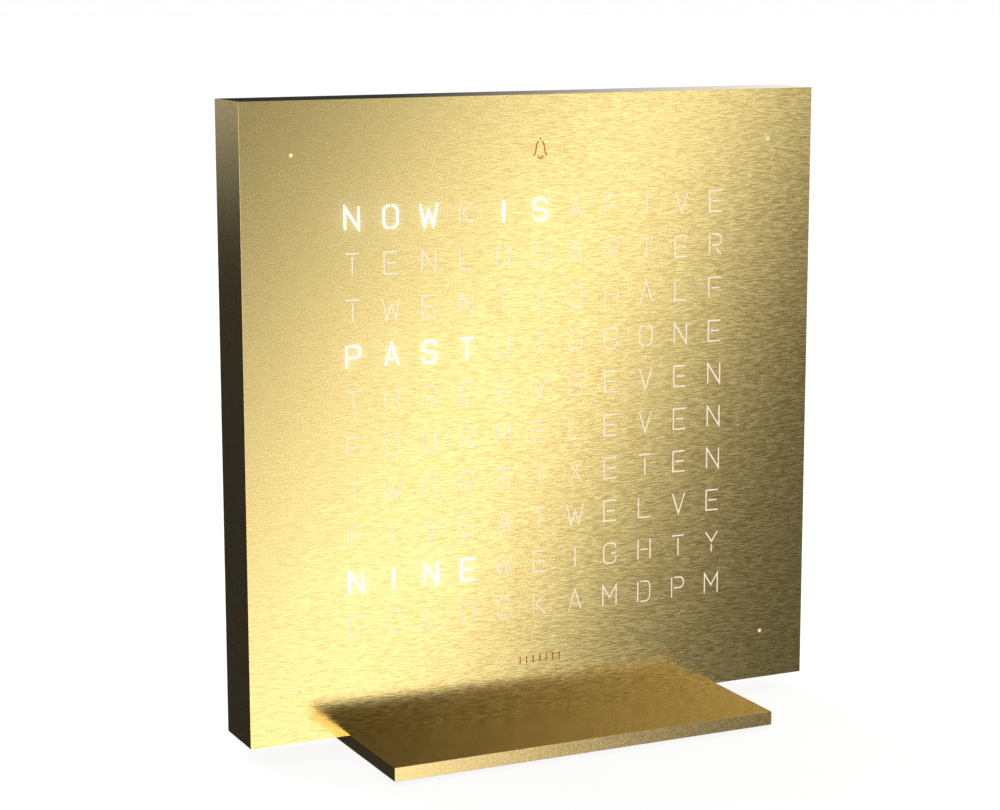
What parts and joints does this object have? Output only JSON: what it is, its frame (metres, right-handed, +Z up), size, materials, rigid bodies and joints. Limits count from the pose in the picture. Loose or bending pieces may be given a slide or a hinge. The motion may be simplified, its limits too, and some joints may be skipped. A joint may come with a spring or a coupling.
{
  "type": "word clock",
  "caption": "Square gold steel desk clock that shows the time as lit words in a letter grid, on a flat base plate, with push-buttons and a supply socket at the back.",
  "frame": {"origin": "on the ground under the middle of the base plate", "axes": "+Z up, the face looks along -Y, +X is the viewer's right"},
  "size_m": [0.135, 0.0628, 0.1389],
  "materials": {
    "case_gold": "gold-coloured steel, brushed level on the face",
    "plate_gold": "gold-coloured steel, fine blasted",
    "cover_black": "moulded, finely grained",
    "button_black": "moulded, smooth",
    "screw_dark": "blackened steel",
    "zinc_steel": "zinc plated",
    "diffuser_white": "milky sheet",
    "grid_white": "moulded, matt",
    "board_black": "fibreglass board with matt lacquer",
    "lamp_yellow": "clear resin over phosphor",
    "chip_black": "moulded resin",
    "can_metal": "bright plated",
    "coil_grey": "pressed ferrite",
    "capacitor_tan": "ceramic",
    "connector_ivory": "moulded nylon",
    "cell_steel": "bright",
    "bar_aluminium": "sawn and drilled",
    "flex_amber": "flat film lead",
    "spring_bronze": "bright leaf",
    "foot_rubber": "matt"
  },
  "bodies": {
    "clock": {"front_shell": "case_gold", "rear_cover": "cover_black", "corner_posts": "zinc_steel", "cover_screws": "screw_dark", "diffuser_sheet": "diffuser_white", "light_grid": "grid_white", "led_board": "board_black", "display_leds": "lamp_yellow", "driver_chips": "chip_black", "main_board": "board_black", "switch_bodies": "chip_black", "microcontroller": "chip_black", "clock_crystal": "can_metal", "power_regulator": "chip_black", "power_coil": "coil_grey", "capacitors": "capacitor_tan", "alarm_sounder": "chip_black", "cell_holder": "connector_ivory", "backup_cell": "cell_steel", "display_plug": "connector_ivory", "display_socket": "connector_ivory", "inlet_board": "board_black", "usb_shell": "can_metal", "usb_tongue": "chip_black", "light_sensor": "lamp_yellow", "inlet_flex": "flex_amber", "touch_spring": "spring_bronze", "base_plate": "plate_gold", "rubber_feet": "foot_rubber", "base_block": "bar_aluminium", "base_screws": "screw_dark"},
    "hour_button": {"hour_button": "button_black", "hour_plunger": "connector_ivory"},
    "minute_button": {"minute_button": "button_black", "minute_plunger": "connector_ivory"},
    "brightness_button": {"brightness_button": "button_black", "brightness_plunger": "connector_ivory"},
    "alarm_button": {"alarm_button": "button_black", "alarm_plunger": "connector_ivory"}
  },
  "joints": [
    {"name": "hour_press", "type": "slide", "parent": "clock", "child": "hour_button", "axis": [0, -1, 0], "range_m": [0, 0.0003], "stiffness_N_per_m": 4000},
    {"name": "minute_press", "type": "slide", "parent": "clock", "child": "minute_button", "axis": [0, -1, 0], "range_m": [0, 0.0003], "stiffness_N_per_m": 4000},
    {"name": "brightness_press", "type": "slide", "parent": "clock", "child": "brightness_button", "axis": [0, -1, 0], "range_m": [0, 0.0003], "stiffness_N_per_m": 4000},
    {"name": "alarm_press", "type": "slide", "parent": "clock", "child": "alarm_button", "axis": [0, -1, 0], "range_m": [0, 0.0003], "stiffness_N_per_m": 4000}
  ]
}
